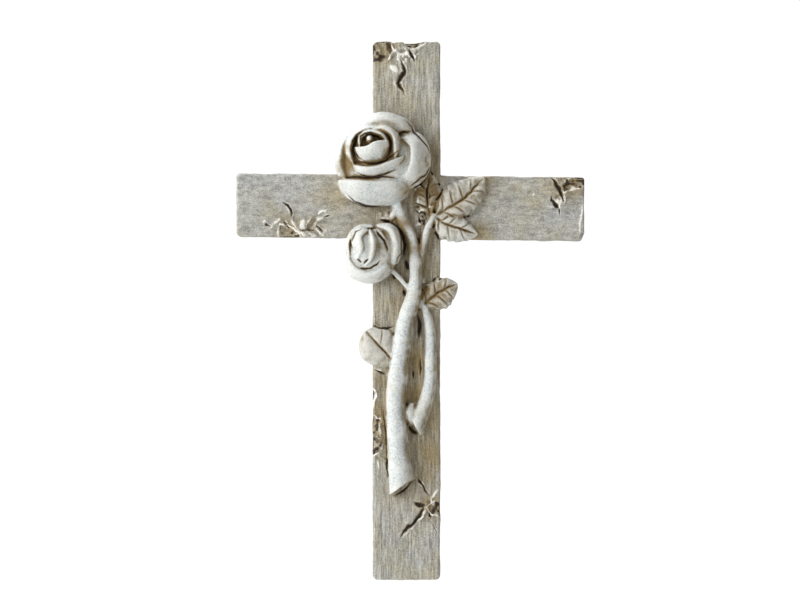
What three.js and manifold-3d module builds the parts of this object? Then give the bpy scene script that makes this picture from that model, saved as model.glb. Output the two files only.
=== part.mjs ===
// Resin grave cross: a Latin cross cast in one piece with two roses, their stems and their leaves in relief.
// Millimetres. +X is the viewer's right, +Z is up and -Y points out of the wall.
// The origin is on the flat back, behind the middle of the crossing.
import * as THREE from 'three';
import { mergeVertices } from 'three/addons/utils/BufferGeometryUtils.js';
import Module from 'manifold-3d';

const wasm = await Module();
wasm.setup();

// Cross body
const TOP = 86;                  // crossing to the top end
const FOOT = 194;                // crossing to the foot
const ARM_LEFT = 88.5;
const ARM_RIGHT = 92.5;
const UPRIGHT_WIDTH = 35;
const CROSSBAR_WIDTH = 33;
const CROSSBAR_DROP = 0.0122;    // fall per millimetre to the right: the crossbar is 0.7 degrees out of square
const THICKNESS = 13;
const CORNER = 2.4;              // rounding of the corners seen from the front
const BROKEN_CORNER = 5;         // the lower right corner of the right arm is knocked off
const EDGE = 1.2;                // rounding of the long edges
const SUNK = THICKNESS - 1.5;    // leaves are rooted this high, inside the bars

// Hanging hole in the back
const HOLE_RADIUS = 4.5;
const HOLE_DEPTH = 8;
const HOLE_Z = 62;

// Body of each flower under its petals: half width, half height and the heights it lies between
const BIG_BODY = { x: -12, z: 24, wide: 19, tall: 19, top: 23, under: 7 };
const BIG_BUD = { x: -17.5, z: 29.5, wide: 11, tall: 11, top: 28, under: 16 };
const BIG_CORE = { x: -18.8, z: 34.2, wide: 2.2, tall: 2.2, top: 33, under: 22 };
const SMALL_BODY = { x: -17.5, z: -23.5, wide: 12.5, tall: 12.5, top: 19, under: 8 };
const SMALL_BUD = { x: -21.6, z: -21.3, wide: 6.4, tall: 9.8, top: 26.6, under: 12 };
const PETAL_ROOT = 10;           // height where the outer petals meet the body of the rose
const LIP = 2.6;                 // thickness of an outer petal's edge

// A petal's crest runs anticlockwise round its rose as [x, z, height], so its outer side is on the right.
// inner and outer are the widths either side of the crest, dropIn and dropOut the falls to those edges,
// hollow dishes the inner side, and blunt is the share of the length over which each end rounds off.
const BIG_PETALS = [
  // outer whorl: top, left, bottom and right
  { crest: [[4, 37.5, 22], [-5, 42.8, 24], [-15, 44.2, 24.5], [-24, 39, 23]],
    inner: 7, outer: 4.7, dropIn: 2.5, dropOut: 5, hollow: 0.6, blunt: [0.3, 0.3] },
  { crest: [[-24, 41, 22.5], [-32, 33, 24], [-34, 23, 24], [-31.5, 14, 22]],
    inner: 7, outer: 3, dropIn: 4.5, dropOut: 4, hollow: 1, blunt: [0.3, 0.2] },
  { crest: [[-35, 13.4, 21.5], [-26, 12.2, 26], [-14, 11.6, 27], [-5, 12.2, 25.5], [2, 14.5, 22]],
    inner: 3, outer: 11.6, dropIn: 1.2, dropOut: 8, hollow: 0, blunt: [0.5, 0.5] },
  { crest: [[-5, 13.5, 23], [0.8, 18, 27], [3.2, 25, 28], [2.4, 31.5, 27.5], [-3.6, 35.4, 24.5]],
    inner: 2.8, outer: 9.9, dropIn: 2.5, dropOut: 8, hollow: 0, blunt: [0.45, 0.6] },
  // inner whorl: left cup, right cup and the crescent below the bud
  { crest: [[-13, 40.3, 28], [-21, 39.5, 29], [-27.3, 35, 29.5], [-29, 28.5, 29], [-27, 21.5, 27]],
    inner: 1.4, outer: 2.4, dropIn: 1, dropOut: 3.5, hollow: 0, blunt: [0.2, 0.2] },
  { crest: [[-6.2, 24.5, 28], [-5.8, 30, 30], [-6.8, 36, 30.3], [-11, 39.2, 30], [-17, 39.8, 29]],
    inner: 2.2, outer: 3, dropIn: 1, dropOut: 4, hollow: 0, blunt: [0.2, 0.2] },
  { crest: [[-27.3, 21.2, 27], [-21, 19.2, 30.5], [-13, 20.3, 31], [-6.5, 23, 30], [-1.5, 25.5, 27]],
    inner: 1.7, outer: 4.8, dropIn: 0.8, dropOut: 5.5, hollow: 0, blunt: [0.25, 0.3] },
  // bud: its back rim and the shield folded over its front
  { crest: [[-9.3, 30.5, 30.5], [-12.5, 36.2, 32.3], [-18.5, 37.7, 32.7], [-23.4, 35.3, 32], [-24, 30.5, 30.5]],
    inner: 1.2, outer: 1.4, dropIn: 0.8, dropOut: 3, hollow: 0, blunt: [0.15, 0.15] },
  { crest: [[-26.5, 29.5, 30], [-20.5, 30, 33], [-15.5, 32.2, 34.2], [-9.6, 33.2, 31.5]],
    inner: 1.1, outer: 9.4, dropIn: 0.8, dropOut: 5.5, hollow: 0, blunt: [0.45, 0.28] },
];
const SMALL_PETALS = [
  // outer whorl: right, left and bottom
  { crest: [[-8.5, -31, 19], [-6, -26, 22.5], [-5.4, -18.5, 24], [-8.5, -12, 23.5], [-15.5, -10.2, 21]],
    inner: 3.2, outer: 3.2, dropIn: 2, dropOut: 3.5, hollow: 0, blunt: [0.35, 0.3] },
  { crest: [[-17, -10.4, 21], [-25, -12.2, 22.3], [-29.4, -18, 22.5], [-29.6, -26.5, 21]],
    inner: 2.6, outer: 2.1, dropIn: 2, dropOut: 3.5, hollow: 0.5, blunt: [0.3, 0.3] },
  { crest: [[-30.8, -25, 20.5], [-26.5, -32, 22.5], [-18.5, -35.2, 23.5], [-11.8, -31.5, 23],
    [-8.6, -24.5, 20.5]],
    inner: 2.4, outer: 4.8, dropIn: 1.2, dropOut: 5, hollow: 0, blunt: [0.35, 0.3] },
  // inner whorl: the low petal right of the bud
  { crest: [[-17, -31.5, 20.5], [-12.6, -27, 22], [-11, -20.5, 22.3], [-13, -14.5, 22], [-17, -12, 21.5]],
    inner: 2, outer: 1.6, dropIn: 1.5, dropOut: 3, hollow: 0.5, blunt: [0.25, 0.25] },
  // bud: right fold and left fold
  { crest: [[-21.5, -31, 23], [-18, -25.5, 26.8], [-16.8, -18.5, 27.6], [-19, -12, 25]],
    inner: 3.6, outer: 1.9, dropIn: 1.8, dropOut: 4, hollow: 0.7, blunt: [0.3, 0.3] },
  { crest: [[-20, -12, 25], [-23.4, -16, 27.4], [-22.8, -21.5, 28], [-25.4, -28, 24.5]],
    inner: 1.6, outer: 4.8, dropIn: 1.2, dropOut: 4, hollow: 0, blunt: [0.35, 0.35] },
];

// Stems run from the flower down as [x, z, height, radius]; slant is the slope of the cut end
const STEMS = [
  // the big rose's stem and the small rose's, which comes out again on the right of it
  { line: [[-7, 6, 15, 4], [-2, -6, 15, 3.5], [2.9, -18, 15.5, 3], [4.8, -32, 16, 3.3], [4, -44, 16, 3.9],
    [-0.6, -60, 15.3, 4.5], [-3.6, -80, 15, 4.8], [-5.4, -98, 15, 5], [-4.6, -120, 15, 5.2],
    [-2.8, -145, 14.6, 6.3]],
    steps: 27, sides: 10, slant: 0.62 },
  { line: [[3.5, -45, 14, 2.2], [9, -53, 14.2, 2.4], [11.8, -62, 14.4, 2.3], [12.5, -76, 14.5, 2.4],
    [12.2, -90, 14.5, 2.8], [10.3, -100, 14.5, 3.4], [4.8, -114.4, 14.5, 4.2]],
    steps: 18, sides: 8, slant: -0.7 },
  // the small rose's stalk and the stalk of the leaf spray
  { line: [[-9.5, -30, 15, 1.8], [-4, -36.5, 15.4, 1.3], [2, -43.5, 15.4, 1.3]], steps: 4, sides: 8, slant: 0 },
  { line: [[15, -3.5, 15, 1.9], [11.2, -11, 15, 2], [8.4, -20, 15, 2], [5.5, -32, 15, 1.9]],
    steps: 7, sides: 8, slant: 0 },
  // thorn beside the big rose's neck, and the short shoot beside the second stem's cut end
  { line: [[-2.6, -8, 15.5, 1.7], [-4.8, -4, 16.4, 2], [-8.8, 1.8, 15.5, 0.8]], steps: 4, sides: 8, slant: 0 },
  { line: [[2.4, -112, 13.5, 1.6], [1.9, -106.5, 13.8, 2.7], [3, -102.6, 13.2, 1.4]],
    steps: 4, sides: 8, slant: 0 },
];

// Leaves: the rib runs from base to tip as [x, z, height]; left and right are the half widths seen along it,
// puff swells each half, droop lets the edges fall, and teeth and veins are counts along a half
const LEAVES = [
  { rib: [[15.5, -4.5, 15.6], [24, 0.6, 16.4], [32, 6.2, 16.6], [40.4, 15, 15.6]],
    left: 10.4, right: 8.8, puff: 1.1, droop: 1, teeth: 7, veins: 4 },
  { rib: [[15.5, -5.5, 15.4], [20, -9, 16.4], [27.5, -11.6, 16.8], [37, -14, 15.4]],
    left: 7, right: 8, puff: 1.1, droop: 0.9, teeth: 6, veins: 3 },
  { rib: [[12.5, -4, 14.8], [10.4, 3, 15.2], [10.8, 10, 15], [12.4, 18, 14.4]],
    left: 6.8, right: 8, puff: 0.8, droop: 0.8, teeth: 5, veins: 3 },
  { rib: [[7.5, -52, 14.6], [13.5, -46.4, 15.6], [19.5, -42.6, 16], [26.2, -40, 15]],
    left: 7.2, right: 10, puff: 1, droop: 0.8, teeth: 5, veins: 3 },
  { rib: [[-6.5, -81.5, 15], [-12.5, -73.6, 16.2], [-17, -69.4, 16.2], [-22, -64, 15]],
    left: 10.4, right: 9.8, puff: 0.9, droop: 0.8, teeth: 4, veins: 2 },
];

// Damage moulded into the face of the bars: cracks as [x, z] lines, and sunken chips as [x, z] outlines
const CRACKS = [
  { line: [[-3, 77], [-1.3, 70.5], [-4.6, 64.5], [-0.4, 57.8]], width: 2.6, depth: 1.6 },
  { line: [[-10, 75.5], [-7.3, 79.5], [-4.5, 82], [-1, 80.2], [2.4, 80.6], [4.4, 75.8]],
    width: 1.6, depth: 1.2 },
  { line: [[-64.5, 3.2], [-60.3, -1], [-59.4, -6], [-56.5, -11], [-53.5, -15]], width: 1.6, depth: 1.1 },
  { line: [[-74, -7], [-72.5, -9.8], [-66, -6.6], [-62.5, -10], [-58, -14.5]], width: 1.7, depth: 1 },
  { line: [[-39.5, -3.2], [-45.5, -4.4], [-48.5, -8.5], [-51.5, -14]], width: 2.2, depth: 1.2 },
  { line: [[-49, -10.4], [-45, -12.2], [-42.5, -15.5]], width: 1.5, depth: 0.9 },
  { line: [[75.2, 15], [78.5, 11], [80.2, 6.5], [81.8, 2]], width: 1.6, depth: 1.3 },
  { line: [[75, 5.5], [76.8, 1.6], [79.3, 0.2], [79.8, -4.4]], width: 1.6, depth: 1.1 },
  { line: [[-15, -135], [-14, -130], [-12, -128.8], [-10.2, -131], [-9.8, -139]], width: 1.4, depth: 1 },
  { line: [[4.8, -139.4], [9, -146], [12.6, -151], [9, -155.4]], width: 1.2, depth: 1 },
  { line: [[17.3, -147], [13, -151.6], [8.6, -156.5], [5.6, -162.5], [0, -167], [-3.8, -173]],
    width: 2.2, depth: 1.5 },
];
const CHIPS = [
  { outline: [[-19, 88], [-19, 75.5], [-13, 74.6], [-9.6, 76], [-6.6, 81], [-8.6, 88]], depth: 1.1 },
  { outline: [[-2, 88], [-1, 83.4], [4.6, 81.6], [9.8, 84.8], [10, 88]], depth: 1.6 },
  { outline: [[80.4, 11.2], [81.6, 7.6], [90.4, 9.6], [95, 13], [95, 18], [84, 18]], depth: 1.1 },
  { outline: [[-66, -9.2], [-60, -10], [-55, -14], [-56, -19], [-67, -19]], depth: 0.9 },
  { outline: [[10.4, -156], [14.5, -153], [20, -153], [20, -161], [13, -160]], depth: 0.9 },
  { outline: [[-20, -93], [-16.4, -95], [-15.6, -98], [-17, -101], [-20, -102]], depth: 1.2 },
  { outline: [[-20, -107], [-15.8, -109.4], [-12.6, -110.2], [-14.6, -117.5], [-11.4, -121], [-13, -127],
    [-20, -131]], depth: 1 },
];

const RESIN = new THREE.MeshStandardMaterial({ color: 0xbdb5a5, roughness: 0.75, metalness: 0 });

// A point of the relief: x and z as seen from the front, height above the back
const relief = (x, z, height) => new THREE.Vector3(x, -height, z);

const mix = THREE.MathUtils.lerp;

// A closed geometry as a solid for joining and cutting
function solid(geometry) {
  const bare = geometry.clone();
  bare.deleteAttribute('normal');
  bare.deleteAttribute('uv');
  const merged = mergeVertices(bare, 1e-4);
  const vertProperties = new Float32Array(merged.attributes.position.array);
  const triVerts = new Uint32Array(merged.index.array);
  return new wasm.Manifold(new wasm.Mesh({ numProp: 3, vertProperties, triVerts }));
}

// Moves every vertex of a geometry to place(vertex)
function bend(geometry, place) {
  const position = geometry.attributes.position;
  const vertex = new THREE.Vector3();
  for (let i = 0; i < position.count; i += 1) {
    const moved = place(vertex.fromBufferAttribute(position, i));
    position.setXYZ(i, moved.x, moved.y, moved.z);
  }
  return geometry;
}

// A closed limb: a cylinder whose rings follow a line of [x, z, height] points.
// ring(t, angle, height) gives the [side, height, along] of a ring point; side is to the right of travel.
function limb(line, steps, sides, spread, ring) {
  const centre = new THREE.CatmullRomCurve3(line.map(([x, z, height]) => relief(x, z, height)));
  return bend(new THREE.CylinderGeometry(1, 1, 1, sides, steps), (vertex) => {
    const t = spread(vertex.y + 0.5);
    const angle = Math.atan2(vertex.z, vertex.x);
    const fill = Math.hypot(vertex.x, vertex.z);
    const at = centre.getPoint(t);
    const travel = centre.getTangent(t).setY(0).normalize();
    const [side, height, along] = ring(t, angle, -at.y);
    const [, lowest] = ring(t, -Math.PI / 2, -at.y);
    const [, highest] = ring(t, Math.PI / 2, -at.y);
    return relief(
      at.x + fill * (side * travel.z + along * travel.x),
      at.z + fill * (along * travel.z - side * travel.x),
      mix((lowest + highest) / 2, height, fill),
    );
  });
}

const evenly = (t) => t;
const towardsEnds = (t) => (1 - Math.cos(Math.PI * t)) / 2;

// 1 along a limb, rounding off to a small blunt nose over the given share of each end
function rounded(t, [start, end]) {
  const arc = (share) => Math.sqrt(1 - (1 - Math.min(share, 1)) ** 2);
  return Math.max(0.12, Math.min(arc(t / start), arc((1 - t) / end)));
}

// Fall from a crest, 0, to an edge, 1
const dome = (u) => u * u;
const dish = (u) => (1 - Math.cos(Math.PI * u)) / 2;

// How far round a slab-like ring a point lies between its underside, 0, and its top, 1
function slabRise(angle) {
  const up = Math.sin(angle);
  return 0.5 + 0.5 * Math.sign(up) * Math.abs(up) ** 0.4;
}

function petal({ crest, inner, outer, dropIn, dropOut, hollow, blunt }, steps, sides) {
  return limb(crest, steps, sides, towardsEnds, (t, angle, height) => {
    const taper = rounded(t, blunt);
    const u = Math.cos(angle);
    const reach = Math.abs(u);
    const fall = u > 0 ? dropOut * dome(reach) : dropIn * mix(dome(reach), dish(reach), hollow);
    const lifted = Math.max(0, u - 0.2) / 0.8;
    const under = mix(PETAL_ROOT, height - dropOut - LIP, dome(lifted));
    return [u * taper * (u > 0 ? outer : inner), mix(under, height - fall * taper, slabRise(angle)), 0];
  });
}

// A flattened ball that fills a flower from its underside to just below its petals
function heart({ x, z, wide, tall, top, under }) {
  const ball = new THREE.SphereGeometry(1, 16, 8);
  const middle = relief(x, z, (top + under) / 2);
  return ball.scale(wide, (top - under) / 2, tall).translate(middle.x, middle.y, middle.z);
}

function bigRose() {
  return [...[BIG_BODY, BIG_BUD, BIG_CORE].map(heart), ...BIG_PETALS.map((spec) => petal(spec, 12, 10))];
}

function smallRose() {
  return [...[SMALL_BODY, SMALL_BUD].map(heart), ...SMALL_PETALS.map((spec) => petal(spec, 10, 8))];
}

function stem({ line, steps, sides, slant }) {
  const last = line.length - 1;
  return limb(line, steps, sides, evenly, (t, angle, height) => {
    const place = Math.min(Math.floor(t * last), last - 1);
    const radius = mix(line[place][3], line[place + 1][3], t * last - place);
    const side = radius * Math.cos(angle);
    const cut = THREE.MathUtils.smoothstep(t, 1 - 2 / steps, 1);
    return [side, height + radius * Math.sin(angle), side * slant * cut];
  });
}

function leaf({ rib, left, right, puff, droop, teeth, veins }) {
  return limb(rib, 2 * teeth, 10, evenly, (t, angle, height) => {
    const u = Math.cos(angle);
    const reach = Math.abs(u);
    const toothed = 1 - 0.16 * ((t * teeth + 1e-6) % 1);
    const width = Math.max(0.06, Math.sin(Math.PI * t) ** 0.6) * toothed;
    const vein = 0.35 * Math.cos(2 * Math.PI * (t * veins - reach * 0.6));
    const top = height + (puff + vein) * Math.sin(Math.PI * reach) - droop * dome(reach);
    return [u * width * (u > 0 ? right : left), mix(SUNK, top, slabRise(angle)), 0];
  });
}

// A groove of diamond section along the face of the bars
function crack({ line, width, depth }) {
  const surface = line.map(([x, z]) => [x, z, THICKNESS]);
  return limb(surface, line.length * 2, 4, evenly, (t, angle, height) => {
    const taper = rounded(t, [0.4, 0.4]);
    return [taper * 0.5 * width * Math.cos(angle), height + taper * depth * Math.sin(angle), 0];
  });
}

// Stands a flat shape up against the wall: its y runs up the wall and its depth comes out of the wall
function standUp(shape, settings, height) {
  return new THREE.ExtrudeGeometry(shape, settings).rotateX(Math.PI / 2).translate(0, -height, 0);
}

function chip({ outline, depth }) {
  const shape = new THREE.Shape(outline.map(([x, z]) => new THREE.Vector2(x, z)));
  return standUp(shape, { depth: 2 * depth, bevelEnabled: false }, THICKNESS - depth);
}

function crossOutline() {
  const half = UPRIGHT_WIDTH / 2;
  const bar = (x, side) => [x, (side * CROSSBAR_WIDTH) / 2 - x * CROSSBAR_DROP];
  const corners = [
    [-half, TOP], bar(-half, 1), bar(-ARM_LEFT, 1), bar(-ARM_LEFT, -1), bar(-half, -1), [-half, -FOOT],
    [half, -FOOT], bar(half, -1), bar(ARM_RIGHT, -1), bar(ARM_RIGHT, 1), bar(half, 1), [half, TOP],
  ].map(([x, z]) => new THREE.Vector2(x, z));
  const broken = 8;
  const inside = new Set([1, 4, 7, 10]);
  const shape = new THREE.Shape();
  corners.forEach((corner, i) => {
    const before = corners.at(i - 1);
    const after = corners[(i + 1) % corners.length];
    const outside = i === broken ? BROKEN_CORNER : CORNER;
    const radius = inside.has(i) ? CORNER / 4 : outside;
    const start = corner.clone().add(before.clone().sub(corner).setLength(radius));
    const end = corner.clone().add(after.clone().sub(corner).setLength(radius));
    if (i === 0) shape.moveTo(start.x, start.y);
    else shape.lineTo(start.x, start.y);
    shape.quadraticCurveTo(corner.x, corner.y, end.x, end.y);
  });
  return shape;
}

function bars() {
  const settings = {
    depth: THICKNESS - 2 * EDGE,
    bevelThickness: EDGE,
    bevelSize: EDGE,
    bevelOffset: -EDGE,
    bevelSegments: 2,
    curveSegments: 3,
  };
  return standUp(crossOutline(), settings, EDGE);
}

function hangingHole() {
  const hole = new THREE.CylinderGeometry(HOLE_RADIUS, HOLE_RADIUS, 2 * HOLE_DEPTH, 24);
  return hole.translate(0, 0, HOLE_Z);
}

// The bars with their damage and hanging hole cut in, then the relief joined on.
// Pockets sealed between petals are filled in the casting, so only the outer skin is kept.
function casting() {
  const cuts = [...CRACKS.map(crack), ...CHIPS.map(chip), hangingHole()];
  const added = [...bigRose(), ...smallRose(), ...STEMS.map(stem), ...LEAVES.map(leaf)];
  const damaged = cuts.reduce((body, cut) => body.subtract(solid(cut)), solid(bars()));
  const whole = added.reduce((body, piece) => body.add(solid(piece)), damaged);
  const skins = whole.decompose().sort((a, b) => b.volume() - a.volume());
  const { numProp, numVert, vertProperties, triVerts } = skins[0].getMesh();
  const position = new Float32Array(numVert * 3);
  for (let i = 0; i < numVert; i += 1) {
    position.set(vertProperties.subarray(i * numProp, i * numProp + 3), i * 3);
  }
  const geometry = new THREE.BufferGeometry();
  geometry.setAttribute('position', new THREE.BufferAttribute(position, 3));
  geometry.setIndex(new THREE.BufferAttribute(triVerts, 1));
  geometry.computeVertexNormals();
  return geometry;
}

const cross = new THREE.Group();
const castCross = new THREE.Mesh(casting(), RESIN);
castCross.name = 'resin_cross';
cross.add(castCross);

export default cross;
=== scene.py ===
"""Resin grave cross: one antiqued casting with roses, stems and leaves in relief, in soft studio light."""
import math

import bmesh
import bpy
import numpy as np
from mathutils import Matrix, Vector
from mathutils.bvhtree import BVHTree


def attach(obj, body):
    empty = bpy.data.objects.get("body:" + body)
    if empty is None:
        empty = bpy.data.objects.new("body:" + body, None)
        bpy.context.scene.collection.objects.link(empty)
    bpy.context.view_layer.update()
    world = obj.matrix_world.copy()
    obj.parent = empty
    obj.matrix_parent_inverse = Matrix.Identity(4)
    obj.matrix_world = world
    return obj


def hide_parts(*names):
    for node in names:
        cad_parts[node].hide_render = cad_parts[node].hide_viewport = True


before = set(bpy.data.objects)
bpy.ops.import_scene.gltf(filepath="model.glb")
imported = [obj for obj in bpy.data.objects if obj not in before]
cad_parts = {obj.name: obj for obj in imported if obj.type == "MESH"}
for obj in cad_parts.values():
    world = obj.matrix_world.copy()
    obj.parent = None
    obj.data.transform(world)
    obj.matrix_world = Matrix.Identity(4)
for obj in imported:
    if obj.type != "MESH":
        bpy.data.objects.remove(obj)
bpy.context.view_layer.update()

MM = 0.001                       # the forms are worked in millimetres and the finished piece is in metres

# Cross body
TOP = 86.0                       # crossing to the top end
FOOT = 194.0                     # crossing to the foot
ARM_LEFT = 88.5
ARM_RIGHT = 92.5
UPRIGHT_WIDTH = 35.0
CROSSBAR_WIDTH = 33.0
CROSSBAR_DROP = 0.0122           # fall per millimetre to the right
THICKNESS = 13.0
CORNER = 2.4                     # rounding of the corners seen from the front
BROKEN_IN = 2.0                  # lower right corner of the right arm, cut this far along the arm
BROKEN_UP = 4.2                  # and this far up its end
EDGE = 1.2                       # rounding of the long edges
SUNK = THICKNESS - 1.5           # leaves are rooted this high, inside the bars

# Hanging hole in the back
HOLE_RADIUS = 4.5
HOLE_DEPTH = 8.0
HOLE_Z = 62.0

# Body of each flower under its petals
BIG_BODY = dict(x=-12, z=24, wide=23, tall=20, top=27, under=7)
BIG_BUD = dict(x=-17.5, z=29.5, wide=11, tall=11, top=28, under=16)
BIG_CORE = dict(x=-18.8, z=34.2, wide=2.2, tall=2.2, top=33, under=22)
SMALL_BODY = dict(x=-17.5, z=-23.5, wide=13.5, tall=13, top=24.6, under=8)
SMALL_BUD = dict(x=-21.6, z=-21.3, wide=6.4, tall=9.8, top=26.6, under=12)
PETAL_ROOT = 10.0
LIP = 2.6

# Petals: the crest runs anticlockwise as (x, z, height), the outer side is on the right of it
BIG_PETALS = [
    # outer whorl: top, left, bottom and right
    dict(crest=[(4, 37.5, 23), (-5, 42.8, 25.5), (-15, 44.2, 26), (-24, 39, 24.5)],
         inner=7, outer=4.7, drop_in=0.3, drop_out=5.5, hollow=0, blunt=(0.3, 0.3)),
    dict(crest=[(-24, 41, 22.5), (-32, 33, 24), (-34, 23, 24), (-31.5, 14, 22)],
         inner=7, outer=3, drop_in=4.5, drop_out=4, hollow=1, blunt=(0.3, 0.2)),
    dict(crest=[(-35, 13.4, 21.5), (-26, 12.2, 26), (-14, 11.6, 27), (-5, 12.2, 25.5), (2, 14.5, 22)],
         inner=3, outer=11.6, drop_in=1.2, drop_out=8, hollow=0, blunt=(0.5, 0.5)),
    dict(crest=[(-5, 13.5, 23), (0.8, 18, 27), (3.2, 25, 28), (2.4, 31.5, 27.5), (-3.6, 35.4, 24.5)],
         inner=2.8, outer=9.9, drop_in=2.5, drop_out=8, hollow=0, blunt=(0.45, 0.6)),
    # inner whorl: left cup, right cup and the crescent below the bud
    dict(crest=[(-13, 40.3, 28), (-21, 39.5, 29), (-27.3, 35, 29.5), (-29, 28.5, 29), (-27, 21.5, 27)],
         inner=1.4, outer=2.4, drop_in=1, drop_out=3.5, hollow=0, blunt=(0.2, 0.2)),
    dict(crest=[(-6.2, 24.5, 28), (-5.8, 30, 30), (-6.8, 36, 30.3), (-11, 39.2, 30), (-17, 39.8, 29)],
         inner=2.2, outer=3, drop_in=1, drop_out=4, hollow=0, blunt=(0.2, 0.2)),
    dict(crest=[(-27.3, 21.2, 27), (-21, 19.2, 30.5), (-13, 20.3, 31), (-6.5, 23, 30), (-1.5, 25.5, 27)],
         inner=1.7, outer=4.8, drop_in=0.8, drop_out=5.5, hollow=0, blunt=(0.25, 0.3)),
    # bud: its back rim and the shield folded over its front
    dict(crest=[(-9.3, 30.5, 30.5), (-12.5, 36.2, 32.3), (-18.5, 37.7, 32.7), (-23.4, 35.3, 32),
                (-24, 30.5, 30.5)],
         inner=1.2, outer=1.4, drop_in=0.8, drop_out=3, hollow=0, blunt=(0.15, 0.15)),
    dict(crest=[(-26.5, 29.5, 30), (-20.5, 30, 33), (-15.5, 32.2, 34.2), (-9.6, 33.2, 31.5)],
         inner=1.1, outer=9.4, drop_in=0.8, drop_out=5.5, hollow=0, blunt=(0.45, 0.28)),
]
SMALL_PETALS = [
    # outer whorl: right, left and bottom
    dict(crest=[(-8.5, -31, 19), (-6, -26, 22.5), (-5.4, -18.5, 24), (-8.5, -12, 23.5), (-15.5, -10.2, 21)],
         inner=3.2, outer=3.2, drop_in=2, drop_out=3.5, hollow=0, blunt=(0.35, 0.3)),
    dict(crest=[(-17, -10.4, 21), (-25, -12.2, 22.3), (-29.4, -18, 22.5), (-29.6, -26.5, 21)],
         inner=2.6, outer=2.1, drop_in=2, drop_out=3.5, hollow=0.5, blunt=(0.3, 0.3)),
    dict(crest=[(-30.8, -25, 20.5), (-26.5, -32, 22.5), (-18.5, -35.2, 23.5), (-11.8, -31.5, 23),
                (-8.6, -24.5, 20.5)],
         inner=2.4, outer=4.8, drop_in=1.2, drop_out=5, hollow=0, blunt=(0.35, 0.3)),
    # inner whorl: the low petal right of the bud
    dict(crest=[(-17, -31.5, 20.5), (-12.6, -27, 22.6), (-11, -20.5, 23), (-13, -14.5, 22.6),
                (-17, -12, 21.5)],
         inner=2.4, outer=1.8, drop_in=1, drop_out=2, hollow=0.5, blunt=(0.25, 0.25)),
    # bud: right fold and left fold
    dict(crest=[(-21.5, -31, 23), (-18, -25.5, 26.8), (-16.8, -18.5, 27.6), (-19, -12, 25)],
         inner=3.6, outer=1.9, drop_in=1, drop_out=4, hollow=0.3, blunt=(0.3, 0.3)),
    dict(crest=[(-20, -12, 25), (-23.4, -16, 27.4), (-22.8, -21.5, 28), (-25.4, -28, 24.5)],
         inner=1.6, outer=4.8, drop_in=1.2, drop_out=4, hollow=0, blunt=(0.35, 0.35)),
]

# Stems run from the flower down as (x, z, height, radius); slant is the slope of the cut end
STEMS = [
    # the big rose's stem and the small rose's, which comes out again on the right of it
    dict(line=[(-7, 6, 15, 4), (-2, -6, 15, 3.5), (2.9, -18, 15.5, 3), (4.8, -32, 16, 3.3), (4, -44, 16, 3.9),
               (-0.6, -60, 15.3, 4.5), (-3.6, -80, 15, 4.8), (-5.4, -98, 15, 5), (-4.6, -120, 15, 5.2),
               (-2.8, -145, 14.6, 6.3)], steps=120, slant=0.62, cut=0.074),
    dict(line=[(3.5, -45, 14, 2.2), (9, -53, 14.2, 2.4), (11.8, -62, 14.4, 2.5), (12.5, -76, 14.5, 2.8),
               (12.2, -90, 14.5, 3.2), (10.3, -100, 14.5, 3.6), (4.8, -114.4, 14.5, 4.2)],
         steps=80, slant=-0.7, cut=0.11),
    # the small rose's stalk and the stalk of the leaf spray
    dict(line=[(-9.5, -30, 15, 1.8), (-4, -36.5, 15.4, 1.3), (2, -43.5, 15.4, 1.3)],
         steps=24, slant=0, cut=0.1),
    dict(line=[(15, -3.5, 15, 1.9), (11.2, -11, 15, 2), (8.4, -20, 15, 2), (5.5, -32, 15, 1.9)],
         steps=32, slant=0, cut=0.1),
    # thorn beside the big rose's neck, and the short shoot beside the second stem's cut end
    dict(line=[(-5.5, -1.5, 16.2, 2.2), (-7.4, -5, 16, 1.7), (-8.6, -9, 14.8, 0.7)],
         steps=16, slant=0, cut=0.1),
    dict(line=[(2.8, -113, 13.8, 2), (1.9, -107.5, 14.4, 3.5), (3, -102, 13.4, 1.8)],
         steps=16, slant=0, cut=0.1),
]

# Leaves: the rib runs from base to tip as (x, z, height); left and right are the half widths seen along it
LEAVES = [
    dict(rib=[(15.5, -4.5, 15.6), (24, 0.6, 16.4), (32, 6.2, 16.6), (40.4, 15, 15.6)],
         left=10.4, right=8.8, puff=1.1, droop=1, teeth=7, veins=4, paint=0.36),
    dict(rib=[(15.5, -5.5, 15.4), (20, -9, 16.4), (27.5, -11.6, 16.8), (37, -14, 15.4)],
         left=7, right=8, puff=1.1, droop=0.9, teeth=6, veins=3, paint=0.46),
    dict(rib=[(12.5, -4, 14.8), (10.4, 3, 15.2), (10.8, 10, 15), (12.4, 18, 14.4)],
         left=6.8, right=8, puff=0.8, droop=0.8, teeth=5, veins=3, paint=0.12),
    dict(rib=[(7.5, -52, 14.6), (13.5, -46.4, 15.6), (19.5, -42.6, 16), (26.2, -40, 15)],
         left=7.2, right=10, puff=1, droop=0.8, teeth=5, veins=3, paint=0.17),
    dict(rib=[(-6, -82, 15), (-11.5, -75, 16.2), (-16.5, -69.6, 16.2), (-21.4, -64.4, 15)],
         left=11, right=9.4, puff=0.9, droop=0.8, teeth=4, veins=0, paint=0.34, notch=0.03, full=0.5),
]

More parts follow.
